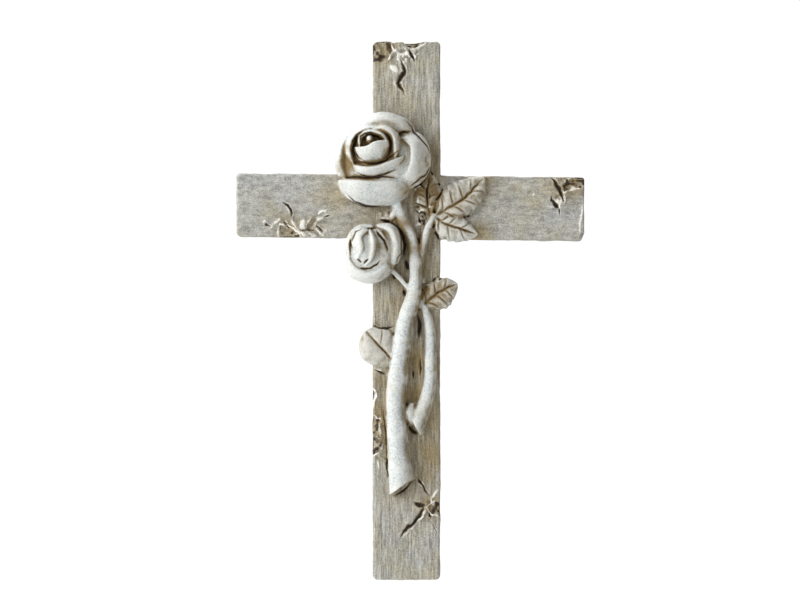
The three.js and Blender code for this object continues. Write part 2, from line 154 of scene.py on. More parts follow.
# Cracks in the face of the bars as (x, z) lines with width, depth, the height of their raised lips
# and the strength of the dark wash in them
CRACKS = [
    # top
    dict(line=[(-3, 77), (-1.6, 73), (-1.3, 70.5), (-2.6, 67.6), (-4.6, 64.5), (-3, 61.6), (-0.4, 57.8)],
         width=2.4, depth=1.6, lip=0.35, wash=1),
    dict(line=[(1.2, 82), (2.8, 79), (3.5, 77.5), (4.6, 75.4)], width=2, depth=1.3, lip=0.4, wash=1),
    # left arm
    dict(line=[(-64.5, 3.2), (-62, 1.3), (-60.3, -0.8), (-59.6, -5)], width=1.7, depth=1.2, lip=0.3, wash=1),
    dict(line=[(-74, -7), (-72.5, -9.8), (-70, -10.4)], width=1.3, depth=0.8, lip=0.4, wash=0.8),
    dict(line=[(-64.4, -6.6), (-62.6, -9.6), (-60, -12)], width=1.6, depth=0.9, lip=0.2, wash=0.6),
    dict(line=[(-46, -3.6), (-48.8, -8), (-51.6, -13)], width=2.6, depth=1.1, lip=0.3, wash=0.4),
    dict(line=[(-42.4, -4.9), (-39.4, -4)], width=1.3, depth=0.8, lip=0.3, wash=0.9),
    dict(line=[(-47.5, -9.6), (-45, -11.4), (-43, -13.4)], width=1.3, depth=0.8, lip=0.3, wash=0.5),
    # right arm
    dict(line=[(75.2, 15.6), (77.4, 12.2), (79.2, 10), (80, 7), (81.6, 2.4)],
         width=2.2, depth=1.5, lip=0.35, wash=1),
    dict(line=[(75.4, 6), (75.2, 3.6), (77, 1.2), (79.3, -0.6), (79.8, -4.8)],
         width=2, depth=1.2, lip=0.4, wash=1),
    # left edge of the upright
    dict(line=[(-12.8, -129.3), (-10.6, -131.2), (-10.1, -135), (-9.6, -140.5)],
         width=1.4, depth=0.9, lip=0.2, wash=0.9),
    # lower right
    dict(line=[(4.8, -139.4), (7, -143), (9, -146), (12.8, -151.4)], width=1.3, depth=1, lip=0.25, wash=1),
    dict(line=[(4.2, -153.4), (7, -155), (10, -154.6)], width=2.4, depth=1.4, lip=0.2, wash=1),
    dict(line=[(9.8, -153.8), (7.8, -158), (6.2, -161.2), (3.6, -164.2), (0.4, -167), (-1.6, -169.4),
               (-3.8, -173)],
         width=2.6, depth=1.5, lip=0.35, wash=1),
    dict(line=[(11.4, -158.6), (13.2, -162)], width=1.8, depth=1, lip=0.2, wash=0.9),
    dict(line=[(12, -162), (14, -166), (15.5, -169), (16, -172)], width=0.9, depth=0.5, lip=0.2, wash=0.5),
]
# Broken edges that stand proud and are worn bright, and one bright line on the right arm's end that is a
# painted highlight: line, width and height
RIDGES = [
    ([(-10, 75.5), (-7.6, 79.2), (-5, 81.8), (-2.4, 82.6)], 1.5, 0.7),
    ([(-8.6, 73.6), (-6.4, 72), (-5, 69.4)], 2.6, 0.5),
    ([(1.2, 78.6), (0.4, 80.4), (-0.8, 78.4)], 1.4, 0.5),
    ([(4, 81.8), (6, 82), (8.5, 83.5), (10.4, 85.4)], 1.2, 0.5),
    ([(-59.6, -5.4), (-58.5, -8), (-57, -10), (-54, -13.4), (-51.4, -15)], 1.5, 0.6),
    ([(-64.6, -5.8), (-67, -7.5), (-69, -9.5), (-71, -11.6)], 1.3, 0.6),
    ([(-74.2, -6.6), (-73.4, -8.4)], 1.2, 0.5),
    ([(-46.4, -4.2), (-44, -2.2), (-40.4, -1.4)], 1.3, 0.6),
    ([(-47.2, -8.6), (-45.4, -6.2), (-43, -5.6)], 1.1, 0.5),
    ([(-48.6, -11.4), (-46, -12.2), (-44, -14), (-42.4, -15.6)], 1.6, 0.6),
    ([(-53, -6.6), (-54, -9.6), (-54.4, -12.4)], 3, 0.4),
    ([(-55, -15.6), (-51, -13.2), (-47.4, -15.2)], 1.8, 0.6),
    ([(82, 6.4), (83, 8), (86.4, 8.6), (91, 10)], 1.4, 0.5),
    ([(81.8, 6), (82.4, 3), (82, 1)], 1.2, 0.4),
    ([(78, 4), (79.6, 2.2), (79, -2)], 1.3, 0.4),
    ([(67.2, 6.8), (65.4, 5.6)], 1, 0.3),
    # front edge of the right arm's end: its worn-bright colour is a painted highlight where the edge catches
    # the light
    ([(91.5, 5), (90.6, -4), (90.1, -11), (89.6, -16.6)], 1.1, 0.3),
    ([(-17, -94.7), (-15.6, -96.6), (-17, -100.4), (-17.3, -105)], 1.2, 0.5),
    ([(-17.3, -107.8), (-15.1, -110.2), (-12.8, -109.7)], 1.2, 0.5),
    ([(-12.8, -110.6), (-14.6, -114.4), (-12.8, -118.1), (-15.6, -120.9), (-12.8, -124.7),
      (-14.6, -128.4)], 1.7, 0.7),
    ([(-15.1, -131.5), (-14.6, -136.8)], 1.1, 0.4),
    ([(-16.8, -84.6), (-14, -85.2), (-12.4, -84.8)], 1.2, 0.4),
    ([(17.2, -146), (15, -148.6), (13.2, -151.4), (12.4, -154)], 1.3, 0.5),
    ([(10, -157), (8.4, -160.4), (5.4, -163.8)], 1.2, 0.4),
    ([(14, -158), (16, -161.5)], 1.2, 0.3),
]
# Chips in the bars: the outline of the sunken floor and its depth
CHIPS = [
    dict(outline=[(-19, 88), (-19, 75.5), (-13, 74.6), (-9.6, 76), (-6.6, 81), (-8.6, 88)], depth=1.1),
    dict(outline=[(-2, 88), (-1, 83.4), (4.6, 81.6), (9.8, 84.8), (10, 88)], depth=1.5),
    dict(outline=[(80.4, 11.2), (81.6, 7.6), (90.4, 9.6), (95, 13), (95, 18), (84, 18)], depth=1.1),
    dict(outline=[(-66, -9.2), (-60, -10), (-55, -14), (-56, -19), (-67, -19)], depth=0.9),
    dict(outline=[(10.4, -156), (14.5, -153), (20, -153), (20, -161), (13, -160)], depth=0.9),
    dict(outline=[(-20, -93), (-16.4, -95), (-15.6, -98), (-17, -101), (-20, -102)], depth=1.1),
    dict(outline=[(-20, -107), (-15.8, -109.4), (-12.6, -110.2), (-14.6, -117.5), (-11.4, -121), (-13, -127),
                  (-20, -131)], depth=1.0),
]

# Crumbled places in the face of the bars: x, z, half width, half height and height of the crumbs
ROUGH = [(-14, -119, 4.5, 13, 0.6), (-15.5, -98, 3, 6, 0.4), (-2.5, 79, 7, 5, 0.8), (4, 79, 3, 4, 0.7),
         (-13, 79.5, 3, 6, 0.5), (-51, -14, 7, 3.5, 0.8), (-44, -13, 4, 4, 0.5), (78, 2, 4, 6, 0.7),
         (86, 12, 6, 4, 0.7), (13, -156, 4, 5, 0.6), (9, 5, 6, 10, 1.0), (9, -8, 5, 6, 0.9),
         (4.5, -82, 3.5, 22, 0.3), (-3, -18, 3, 12, 0.6), (-9, -5, 7, 4, 0.7), (10, -42, 5, 6, 0.7),
         (-14, -86, 5, 3, 0.4)]

# Dark undercut lines and holes beside the relief: line, width and depth
CREVICES = [
    ([(-14, -6.5), (-10, -7.5), (-5.5, -7)], 2.2, 1.6),
    ([(-4, -8), (-2.2, -14), (-0.8, -20), (-1.6, -27)], 2.2, 1.8),
    ([(0, -27.5), (0.8, -33)], 2.6, 1.8),
    ([(-7, -33.5), (-6, -38)], 1.6, 1.4),
    ([(-2, -42.5), (-0.4, -46.5)], 2.2, 1.6),
    ([(6, -55), (6.7, -61), (6.5, -69)], 2.8, 2.0),
    ([(3.2, -84), (3.6, -90)], 1.4, 1.2),
    ([(7.6, -78), (7.2, -84), (7.4, -89)], 1.2, 1.0),
    ([(-18.5, -61), (-15, -62.8), (-11, -63.4), (-5.5, -62.4)], 1.3, 1.2),
    ([(-17, -84.5), (-13.5, -86), (-10.5, -87.4)], 1.4, 1.2),
    ([(-12.5, -103), (-11.2, -112), (-10.4, -122), (-9.8, -138)], 1.0, 0.9),
    ([(1, -113.5), (3, -116.4), (6, -118)], 2.6, 1.6),
    ([(-7.5, -150.5), (-2, -147.5), (4.6, -141)], 1.4, 1.2),
    ([(13.2, -39), (15.2, -36.4)], 1.2, 1.2),
    ([(16.6, -38.4), (18.2, -36.4)], 1.2, 1.2),
    # the tangle between the big rose and the leaf spray
    ([(1.6, 10.4), (3.6, 11.2), (6, 11.8), (7.8, 14.2), (11.4, 17.9)], 1.8, 1.5),
    ([(6.4, 13.6), (8, 11), (9.8, 9)], 1.5, 1.4),
    ([(12.4, 18.2), (13.9, 16.2)], 1.5, 1.3),
    ([(11.2, 13.6), (10.2, 8.4), (11.2, 1.2)], 1.3, 1.3),
    ([(19.8, 9.8), (17, 6), (14, 2)], 1.2, 1.2),
    ([(16.6, 12), (17.8, 11)], 1.4, 1.2),
    ([(3.4, 2.3), (6.6, 1.4), (10.2, -0.2)], 1.0, 1.0),
    ([(4.2, -1.2), (6.6, -3.6)], 1.1, 1.0),
    ([(6, -4.6), (7.4, -2.6), (9.8, -3.2), (10.4, -6)], 1.3, 1.4),
    ([(6.2, -4.4), (6.8, -7.8), (8.8, -6.6)], 1.3, 1.4),
    ([(7.6, -4.2), (9, -5.8)], 0.9, 1.0),
    ([(14.4, -11.6), (16, -14.6), (16.8, -17.2)], 1.6, 1.5),
    ([(5.4, -16), (6, -18.2)], 1.4, 1.3),
    ([(24.2, -0.4), (27.5, -2.4), (31, -3.8)], 1.2, 1.1),
    ([(31, -5), (33.2, -4.6)], 1.2, 1.0),
    ([(18.4, -8.8), (21.6, -7), (26, -4.6)], 1.0, 0.9),
    ([(24.6, -12.6), (26.4, -16.4), (27.8, -18.4)], 1.0, 0.8),
    ([(20, -11.6), (19.4, -15.4), (20.6, -17.6)], 0.9, 0.8),
    ([(29, -12.6), (32.5, -15.6)], 0.9, 0.7),
]

# Dark folds between the petals and round the flowers: line, width and depth
FOLDS = [
    ([(-33.5, 15.3), (-25, 14.7), (-18.8, 14.5), (-13, 14.9), (-8, 14.4), (-4, 14)], 1.7, 1.2),
    ([(-27.5, 18.4), (-23, 15.9), (-18, 14.9), (-12.6, 15.9), (-7.8, 17.9), (-5.6, 19)], 1.6, 1.0),
    ([(-27.5, 22.7), (-22.3, 22.1), (-14.7, 21.7), (-10.5, 23.1), (-8.1, 25.5), (-4.3, 27.6),
      (-2.9, 29.7)], 1.6, 1.1),
    ([(-26.6, 30.4), (-26.2, 27.6), (-24.4, 24.8), (-22, 23)], 1.5, 1.0),
    ([(-10.2, 35.4), (-8.8, 32.5), (-8.4, 29), (-9.5, 26.2), (-12, 24)], 1.5, 1.0),
    ([(-24, 32), (-23.6, 35), (-21.6, 36.9), (-18.5, 37.4), (-15, 36.2), (-13.2, 34.4)], 1.5, 1.1),
    ([(-27.2, 23.4), (-28, 28.3), (-27.4, 32.5), (-25.6, 35.9), (-22.6, 38.2)], 1.4, 0.8),
    ([(-4.6, 34.6), (-3.6, 37.2), (-0.6, 38.5), (2.6, 38.3)], 1.5, 1.1),
    ([(-0.8, 45), (2.2, 41.5), (3.6, 38.2), (6.5, 35.4), (10.6, 31), (12.7, 27)], 1.3, 0.9),
    ([(12.6, 21), (8.6, 15.6), (4.9, 12.7), (1.5, 10.4)], 1.7, 1.2),
    ([(-31.5, 7), (-27.4, 3.1), (-21.6, 0.7), (-16, -0.1), (-9.5, 0.4)], 1.5, 1.1),
    ([(-16.1, -11.2), (-14.1, -15.1), (-11.4, -18.1), (-10.4, -21), (-9.4, -24)], 1.4, 1.1),
    ([(-24.5, -31.6), (-21.5, -32.3), (-18, -31.6), (-15, -29.7), (-13.4, -27.4)], 1.3, 1.0),
    ([(-25.4, -27), (-22.6, -29.4)], 1.4, 1.0),
    ([(-21.8, -30), (-19.6, -26.6)], 1.2, 0.9),
    ([(-29.2, -25.5), (-28.8, -19), (-26.3, -13.4), (-22, -11)], 1.1, 0.7),
    ([(-14.6, -9), (-8.4, -7.6), (-4.3, -11), (-2.4, -17), (-3, -24), (-6, -31)], 1.5, 1.2),
]

# Yellow-brown wash left on the relief: x, z, reach and strength
WASHES = [(-31.5, 21, 5.5, 0.34), (-30, 30, 4, 0.2), (-8, 44, 8, 0.14), (2, 41, 5, 0.2),
          (-2, 9, 6, 0.2), (-13, -21, 4, 0.2), (-28, -14, 4, 0.15), (0, -8, 6, 0.26), (6, -22, 7, 0.24),
          (12, -2, 8, 0.2), (22, -48, 8, 0.14), (12, 8, 8, 0.3), (28, 4, 12, 0.14),
          (26, -12, 9, 0.08), (16, -45, 10, 0.2)]

# Patches of yellow-brown wash on the bars: x, z, reach and strength
STAINS = [(-12, 20, 26, 0.85), (12, 26, 12, 0.7), (-17, -24, 18, 0.7), (6, -80, 14, 1.0), (6, -100, 14, 0.9),
          (4, -55, 14, 0.9), (-14, -112, 15, 1.0), (-13, -92, 8, 0.8), (2, -140, 14, 0.8),
          (12, -128, 12, 0.8), (12, -112, 10, 0.8), (15, -85, 8, 0.8), (13, -156, 8, 0.8), (-12, 80, 9, 0.9),
          (-2, 78, 8, 0.5), (86, 11, 8, 0.9), (-60, -12, 8, 0.7), (-47, -10, 7, 0.5), (12, 5, 16, 0.8)]

SKIN_VOXEL = 0.38 * MM           # fineness of the casting's skin before it is thinned
SKIN_TRIANGLES = 190000
WIDE_REACH = 10 * MM             # how far round a place looks for walls that hold the thin wash
CLOSE_REACH = 2.6 * MM           # and the thick wash, with painted contact shade where forms meet


def mix(a, b, share):
    return a + (b - a) * share


def smooth(low, high, value):
    """0 below low, 1 above high and a soft step between."""
    t = np.clip((value - low) / (high - low), 0.0, 1.0)
    return t * t * (3.0 - 2.0 * t)


def spline(points, t):
    """Point and direction at share t of a smooth line through the points."""
    pts = np.asarray(points, float)
    last = len(pts) - 1
    place = min(int(t * last), last - 1)
    s = t * last - place
    p1, p2 = pts[place], pts[place + 1]
    p0 = pts[place - 1] if place > 0 else 2 * pts[0] - pts[1]
    p3 = pts[place + 2] if place + 2 <= last else 2 * pts[last] - pts[last - 1]
    spans = ((p0, p1), (p1, p2), (p2, p3))
    d0, d1, d2 = (max(np.linalg.norm(b[:3] - a[:3]), 1e-6) ** 0.5 for a, b in spans)
    m1 = ((p1 - p0) / d0 - (p2 - p0) / (d0 + d1) + (p2 - p1) / d1) * d1
    m2 = ((p2 - p1) / d1 - (p3 - p1) / (d1 + d2) + (p3 - p2) / d2) * d1
    c2 = 3 * (p2 - p1) - 2 * m1 - m2
    c3 = 2 * (p1 - p2) + m1 + m2
    return p1 + s * (m1 + s * (c2 + s * c3)), m1 + s * (2 * c2 + s * 3 * c3)


def relief(x, z, height):
    """x and z as seen from the front, height above the back."""
    return Vector((x, -height, z))


# Forms of the casting: each adds one closed shell to the bmesh and marks its faces with a paint strength

def mark(bm, first_face, paint):
    layer = bm.faces.layers.float["paint"]
    bm.faces.ensure_lookup_table()
    for face in bm.faces[first_face:]:
        face[layer] = paint


def limb(bm, line, steps, sides, spread, ring, paint):
    """A cylinder whose rings follow a line; ring(t, angle, height) gives side, height and along."""
    first_vert, first_edge, first_face = len(bm.verts), len(bm.edges), len(bm.faces)
    bmesh.ops.create_cone(bm, cap_ends=True, segments=sides, radius1=1, radius2=1, depth=1)
    bm.edges.ensure_lookup_table()
    lengths = [e for e in bm.edges[first_edge:] if abs(e.verts[0].co.z - e.verts[1].co.z) > 0.5]
    bmesh.ops.subdivide_edges(bm, edges=lengths, cuts=steps - 1)
    bm.verts.ensure_lookup_table()
    stations = {}
    for vert in bm.verts[first_vert:]:
        t = spread(min(max(vert.co.z + 0.5, 0.0), 1.0))
        if t not in stations:
            point, travel = spline(line, t)
            travel = travel[:2] / np.linalg.norm(travel[:2])
            stations[t] = (point, travel)
        point, travel = stations[t]
        side, height, along = ring(t, math.atan2(-vert.co.y, vert.co.x), point[2])
        vert.co = relief(point[0] + side * travel[1] + along * travel[0],
                         point[1] - side * travel[0] + along * travel[1], height)
    mark(bm, first_face, paint)


def evenly(t):
    return t


def towards_ends(t):
    return (1 - math.cos(math.pi * t)) / 2


def rounded(t, blunt):
    """1 along a limb, rounding off to a small blunt nose over the given share of each end."""
    def arc(share):
        return math.sqrt(1 - (1 - min(share, 1)) ** 2)
    return max(0.12, min(arc(t / blunt[0]), arc((1 - t) / blunt[1])))


def dome(u):
    return u * u


def dish(u):
    return (1 - math.cos(math.pi * u)) / 2


def slab_rise(angle):
    """Where a ring point lies between the underside, 0, and the top, 1, of a slab-like limb."""
    up = math.sin(angle)
    return 0.5 + 0.5 * math.copysign(abs(up) ** 0.4, up)


def petal(bm, crest, inner, outer, drop_in, drop_out, hollow, blunt, paint=1.0):
    def ring(t, angle, height):
        taper = rounded(t, blunt)
        u = math.cos(angle)
        reach = abs(u)
        fall = drop_out * dome(reach) if u > 0 else drop_in * mix(dome(reach), dish(reach), hollow)
        lifted = max(0, u - 0.2) / 0.8
        under = mix(PETAL_ROOT, height - drop_out - LIP, dome(lifted))
        side = u * taper * (outer if u > 0 else inner)
        return side, mix(under, height - fall * taper, slab_rise(angle)), 0
    limb(bm, crest, 48, 44, towards_ends, ring, paint)


def heart(bm, x, z, wide, tall, top, under, paint=0.7):
    first_face = len(bm.faces)
    made = bmesh.ops.create_icosphere(bm, subdivisions=4, radius=1)["verts"]
    bmesh.ops.scale(bm, vec=(wide, (top - under) / 2, tall), verts=made)
    bmesh.ops.translate(bm, vec=relief(x, z, (top + under) / 2), verts=made)
    mark(bm, first_face, paint)


def stem(bm, line, steps, slant, cut, paint=1.0):
    def ring(t, angle, height):
        radius = spline(line, t)[0][3]
        side = radius * math.cos(angle)
        share = float(smooth(1 - cut, 1, t))
        return side, height + radius * math.sin(angle), side * slant * share
    limb(bm, line, steps, 32, evenly, ring, paint)


def leaf_width(t, teeth, notch, full):
    toothed = 1 - notch * ((t * teeth + 1e-6) % 1)
    return max(0.06, math.sin(math.pi * t) ** full) * toothed


def leaf(bm, rib, left, right, puff, droop, teeth, veins, paint, notch=0.12, full=0.6):
    def ring(t, angle, height):
        u = math.cos(angle)
        reach = abs(u)
        vein = 0.3 * math.cos(2 * math.pi * (t * veins - reach * 0.6))
        top = height + (puff + vein) * math.sin(math.pi * reach) - droop * dome(reach)
        width = leaf_width(t, teeth, notch, full) * (right if u > 0 else left)
        return u * width, mix(SUNK, top, slab_rise(angle)), 0
    limb(bm, rib, teeth * 12, 60, evenly, ring, paint)


def bars(bm):
    """The plain cross: an outline of thirteen corners, drawn out to its thickness and rounded."""
    half = UPRIGHT_WIDTH / 2

    def bar(x, side):
        return x, side * CROSSBAR_WIDTH / 2 - x * CROSSBAR_DROP
    corners = [(-half, TOP), bar(-half, 1), bar(-ARM_LEFT, 1), bar(-ARM_LEFT, -1), bar(-half, -1),
               (-half, -FOOT), (half, -FOOT), bar(half, -1), bar(ARM_RIGHT - BROKEN_IN, -1),
               (ARM_RIGHT, bar(ARM_RIGHT, -1)[1] + BROKEN_UP), bar(ARM_RIGHT, 1), bar(half, 1), (half, TOP)]
    back = bm.faces.new([bm.verts.new(relief(x, z, 0)) for x, z in corners])
    drawn = bmesh.ops.extrude_face_region(bm, geom=[back])["geom"]
    front = [g for g in drawn if isinstance(g, bmesh.types.BMVert)]
    bmesh.ops.translate(bm, vec=(0, -THICKNESS, 0), verts=front)
    bmesh.ops.recalc_face_normals(bm, faces=bm.faces)

    def corner_edges(wanted):
        return [e for e in bm.edges if abs((e.verts[0].co - e.verts[1].co).y) > THICKNESS / 2
                and any((e.verts[0].co.xz - Vector(corners[i])).length < 0.01 for i in wanted)]

    def round_off(edges, size, segments):
        bmesh.ops.bevel(bm, geom=edges, offset=size, offset_type='OFFSET', affect='EDGES', segments=segments,
                        profile=0.5, material=-1)
    round_off(corner_edges([10]), CORNER / 2, 4)
    round_off(corner_edges([0, 2, 3, 5, 6, 12]), CORNER, 6)
    round_off(corner_edges([1, 4, 7, 8, 9, 11]), CORNER / 4, 2)
    rims = [e for e in bm.edges if abs(e.verts[0].co.y - e.verts[1].co.y) < 0.01]
    round_off(rims, EDGE, 4)


def cut_hanging_hole(plain):
    """Bores the blind hole into the back of the plain cross."""
    bm = bmesh.new()
    bmesh.ops.create_cone(bm, cap_ends=True, segments=48, radius1=HOLE_RADIUS, radius2=HOLE_RADIUS,
                          depth=2 * HOLE_DEPTH)
    bmesh.ops.rotate(bm, cent=(0, 0, 0), matrix=Matrix.Rotation(math.pi / 2, 3, 'X'), verts=bm.verts)
    bmesh.ops.translate(bm, vec=(0, 0, HOLE_Z), verts=bm.verts)
    drill = new_object("drill", bm)
    hole = plain.modifiers.new("hole", 'BOOLEAN')
    hole.operation = 'DIFFERENCE'
    hole.solver = 'EXACT'
    hole.object = drill
    mesh = applied_mesh(plain)
    for ob in (drill, plain):
        bpy.data.objects.remove(ob)
    return mesh


def new_object(name, bm):
    mesh = bpy.data.meshes.new(name)
    bm.to_mesh(mesh)
    bm.free()
    ob = bpy.data.objects.new(name, mesh)
    bpy.context.scene.collection.objects.link(ob)
    return ob


def applied_mesh(ob):
    """The object's mesh with its modifiers worked in."""
    bpy.context.view_layer.update()
    graph = bpy.context.evaluated_depsgraph_get()
    return bpy.data.meshes.new_from_object(ob.evaluated_get(graph))


def all_forms():
    plain = bmesh.new()
    bars(plain)
    bored = cut_hanging_hole(new_object("plain_cross", plain))
    bm = bmesh.new()
    bm.from_mesh(bored)
    bm.faces.layers.float.new("paint")
    mark(bm, 0, 0.0)
    for body in (BIG_BODY, BIG_BUD, SMALL_BODY):
        heart(bm, **body)
    for tip in (BIG_CORE, SMALL_BUD):
        heart(bm, paint=1.0, **tip)
    for shape in BIG_PETALS + SMALL_PETALS:
        petal(bm, **shape)
    for shape in STEMS:
        stem(bm, **shape)
    for shape in LEAVES:
        leaf(bm, **shape)
    return bm


# Skin of the casting

def only_largest_shell(bm):
    """Drops the skins of pockets that are sealed between petals: the casting is solid there."""
    bm.verts.ensure_lookup_table()
    seen = [False] * len(bm.verts)
    shells = []
    for start in bm.verts:
        if seen[start.index]:
            continue
        seen[start.index] = True
        shell, queue = [], [start]
        while queue:
            vert = queue.pop()
            shell.append(vert)
            for edge in vert.link_edges:
                other = edge.other_vert(vert)
                if not seen[other.index]:
                    seen[other.index] = True
                    queue.append(other)
        shells.append(shell)
    shells.sort(key=len)
    spare = [v for shell in shells[:-1] for v in shell]
    bmesh.ops.delete(bm, geom=spare, context='VERTS')


def skin_over(forms):
    """One closed skin round all the forms."""
    joined = new_object("forms", forms)
    remesh = joined.modifiers.new("skin", 'REMESH')
    remesh.mode = 'VOXEL'
    remesh.voxel_size = SKIN_VOXEL
    mesh = applied_mesh(joined)
    bpy.data.objects.remove(joined)
    bm = bmesh.new()
    bm.from_mesh(mesh)
    only_largest_shell(bm)
    for _ in range(3):
        bmesh.ops.smooth_vert(bm, verts=bm.verts, factor=0.5, use_axis_x=True, use_axis_y=True,
                              use_axis_z=True)
    return new_object("resin_casting", bm)


def read_vectors(items, name):
    values = np.empty(len(items) * 3)
    items.foreach_get(name, values)
    return values.reshape(-1, 3)


def random_bumps(points, size, seed):
    """Smooth random values from -1 to 1, with bumps about size apart."""
    cell = points / size
    base = np.floor(cell).astype(np.int64)
    f = cell - base
    f = f * f * (3 - 2 * f)
    total = np.zeros(len(points))
    for corner in range(8):
        step = np.array([corner & 1, corner >> 1 & 1, corner >> 2 & 1])
        n = base + step
        key = (n[:, 0] * 73856093) ^ (n[:, 1] * 19349663) ^ (n[:, 2] * 83492791) ^ (seed * 2654435761)
        key = (key ^ (key >> 13)) * 1274126177 & 0x7FFFFFFF
        key = (key ^ (key >> 15)) & 0xFFFF
        weight = np.prod(np.where(step == 1, f, 1 - f), axis=1)
        total += weight * (key / 32767.5 - 1)
    return total


def near_line(x, z, line):
    """Distance to a line of (x, z) points, and the share of its length at the nearest place."""
    pts = np.asarray(line, float)
    lengths = np.linalg.norm(np.diff(pts, axis=0), axis=1)
    starts = np.concatenate([[0], np.cumsum(lengths)])
    best = np.full(len(x), 1e9)
    share = np.zeros(len(x))
    for a, b, length, start in zip(pts[:-1], pts[1:], lengths, starts):
        d = (b - a) / length
        s = np.clip((x - a[0]) * d[0] + (z - a[1]) * d[1], 0, length)
        gap = np.hypot(x - a[0] - s * d[0], z - a[1] - s * d[1])
        closer = gap < best
        best = np.where(closer, gap, best)
        share = np.where(closer, (start + s) / starts[-1], share)
    return best, share


def inside_outline(x, z, outline):
    """Whether a point is inside a closed (x, z) outline."""
    inside = np.zeros(len(x), bool)
    for (ax, az), (bx, bz) in zip(outline, outline[1:] + outline[:1]):
        crosses = (az > z) != (bz > z)
        with np.errstate(divide='ignore', invalid='ignore'):
            inside ^= crosses & (x < (bx - ax) * (z - az) / (bz - az) + ax)
    return inside


def groove(x, z, line, width, depth, lip):
    """A cut along a line and the lips raised beside it, as heights."""
    gap, share = near_line(x, z, line)
    taper = np.sqrt(np.sin(np.pi * np.clip(share, 0.02, 0.98)))
    half = width / 2 * taper
    cut = depth * taper * np.clip(1 - gap / half, 0, 1) ** 0.7
    raised = lip * taper * np.exp(-((gap - 1.4 * half) / 0.5) ** 2)
    return cut, raised


def sunken(x, z, outline, depth):
    """A floor let down inside an outline and the rim left round it, as heights."""
    gap, _ = near_line(x, z, outline + outline[:1])
    inside = inside_outline(x, z, outline)
    floor = np.where(inside, depth * smooth(0, 0.7, gap), 0)
    return floor, 0.25 * np.exp(-(gap / 0.45) ** 2)


def flat_bumps(x, z, size, seed):
    return random_bumps(np.stack([x, np.zeros(len(x)), z], axis=1), size, seed)


def damage(x, z):
    """Broken places in the face of the bars: change of height, dark wash, bare bright lips and one painted
    edge highlight.
    """
    wander = flat_bumps(x, z, 2.6, 5) * 0.5 + flat_bumps(x, z, 1.2, 15) * 0.3
    wander_up = flat_bumps(x, z, 2.6, 6) * 0.5 + flat_bumps(x, z, 1.2, 16) * 0.3
    ragged = np.clip(flat_bumps(x, z, 3.2, 7) * 1.3 + 0.55, 0.1, 1)
    lumps = flat_bumps(x, z, 1.7, 33)
    out, dark, bare_and_highlight = np.zeros((3, len(x)))
    for crack in CRACKS:
        cut, raised = groove(x + wander, z + wander_up, crack["line"], crack["width"], crack["depth"],
                             crack["lip"])
        out += ragged * raised - cut
        dark = np.maximum(dark, crack["wash"] * cut / crack["depth"])
        bare_and_highlight = np.maximum(bare_and_highlight, 0.5 * ragged * raised / crack["lip"])
    for line, width, tall in RIDGES:
        gap, share = near_line(x + wander, z + wander_up, line)
        crest = np.exp(-(gap / (width / 2)) ** 2) * np.sqrt(np.sin(np.pi * np.clip(share, 0.05, 0.95)))
        out += 1.4 * tall * crest * (0.6 + 0.4 * ragged)
        dark *= 1 - smooth(0.2, 0.7, crest)
        bare_and_highlight = np.maximum(bare_and_highlight, crest * (0.7 + 0.3 * ragged))
    for chip in CHIPS:
        floor, rim = sunken(x + wander, z + wander_up, **chip)
        out += ragged * rim - floor * (0.8 + 0.5 * lumps)
        dark = np.maximum(dark, floor / chip["depth"] * np.clip(0.1 - 1.1 * lumps, 0, 0.7))
        bare_and_highlight = np.maximum(bare_and_highlight, ragged * rim * 3.2)
    return out, dark, bare_and_highlight


def crumbs(x, z):
    """Crumbled places: change of height, dark wash and bare bright lips."""
    lumps = flat_bumps(x, z, 3, 31) * 0.55 + flat_bumps(x, z, 1.5, 32) * 0.45
    inside = np.zeros(len(x))
    for cx, cz, wide, tall, amount in ROUGH:
        away = ((x - cx) / wide) ** 2 + ((z - cz) / tall) ** 2
        inside = np.maximum(inside, amount * np.exp(-away ** 2))
    pits = 0.75 * inside * smooth(0.25, 0.55, -lumps)
    return inside * lumps * 1.2, pits, inside * smooth(0.08, 0.3, lumps)


def scored(x, z, lines, seed):
    """Lines scored into the casting: depth and wash."""
    wander = flat_bumps(x, z, 2.4, seed) * 0.4
    cut, dark = np.zeros((2, len(x)))
    for line, width, depth in lines:
        middle = np.mean(line, axis=0)
        reach = 4 + max(np.ptp([p[0] for p in line]), np.ptp([p[1] for p in line]))
        near = (np.abs(x - middle[0]) < reach) & (np.abs(z - middle[1]) < reach)
        low, _ = groove(x[near] + wander[near], z[near] - wander[near], line, width, depth, 0)
        cut[near] = np.maximum(cut[near], low)
        dark[near] = np.maximum(dark[near], low / depth)
    return cut, dark


def leaf_veins():
    """Lines of each leaf's rib and side veins, as (x, z) points."""
    lines = []
    for shape in LEAVES:
        def at(t, u):
            point, travel = spline(shape["rib"], t)
            travel = travel[:2] / np.linalg.norm(travel[:2])
            side = u * leaf_width(t, 1, 0, 0.6) * (shape["right"] if u > 0 else shape["left"])
            return point[0] + side * travel[1], point[1] - side * travel[0]
        lines.append(([at(t, 0) for t in np.linspace(0.04, 0.97, 14)], 1.2, 0.9))
        for k in range(shape["veins"]):
            start = (k + 0.6) / (shape["veins"] + 0.9)
            for side in (-1, 1):
                ends = np.linspace(0, 0.86, 6)
                lines.append(([at(start + 0.2 * e * (1 - 0.3 * e), side * e) for e in ends], 1.0, 0.6))
    lines.append(([(-12.7, -62.6), (-12.6, -67), (-13.6, -72)], 0.9, 0.5))
    return lines


def faces_of(points, normals):
    """How far each point belongs to the face of the bars, the low relief, the leaves and the flowers."""
    rise = -points[:, 1] - THICKNESS
    front = smooth(0.15, 0.6, -normals[:, 1])
    edge = smooth(0.05, 0.4, -normals[:, 1]) * smooth(-3.5, -2.4, rise)
    on_bars = edge * (1 - smooth(0.5, 0.9, rise))
    low = edge * (1 - smooth(2, 3.2, rise))
    return on_bars, low, front * smooth(0.6, 1.2, rise), front * smooth(1.5, 3, rise)


